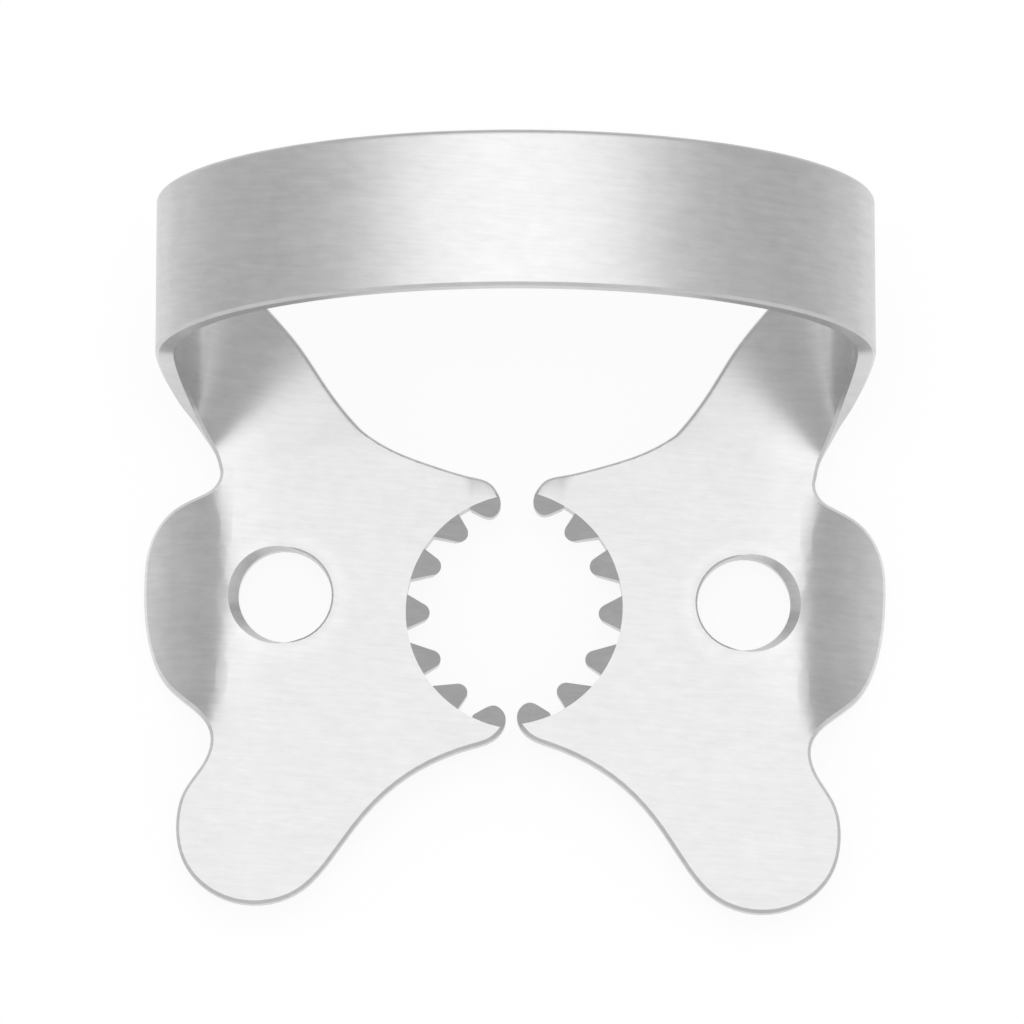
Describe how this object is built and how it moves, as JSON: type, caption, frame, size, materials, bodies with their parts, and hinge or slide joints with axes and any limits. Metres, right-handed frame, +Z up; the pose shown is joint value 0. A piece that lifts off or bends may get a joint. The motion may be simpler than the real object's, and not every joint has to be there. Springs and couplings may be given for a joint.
{
  "type": "rubber dam clamp",
  "caption": "Winged spring clamp folded from one sheet, with toothed jaws that face each other, a forceps hole in each jaw, side wings bent down, and a high arched bow behind.",
  "frame": {"origin": "midway between the two jaws, on the plane of the upper face of the jaw plates", "axes": "+X across the jaws, +Y from the nose of the clamp to its bow, +Z up to the top of the bow"},
  "size_m": [0.0282, 0.0276, 0.0141],
  "materials": {
    "satin_steel": "satin, with fine brush lines across the jaws"
  },
  "bodies": {
    "root": {"dam_clamp": "satin_steel"}
  },
  "joints": []
}
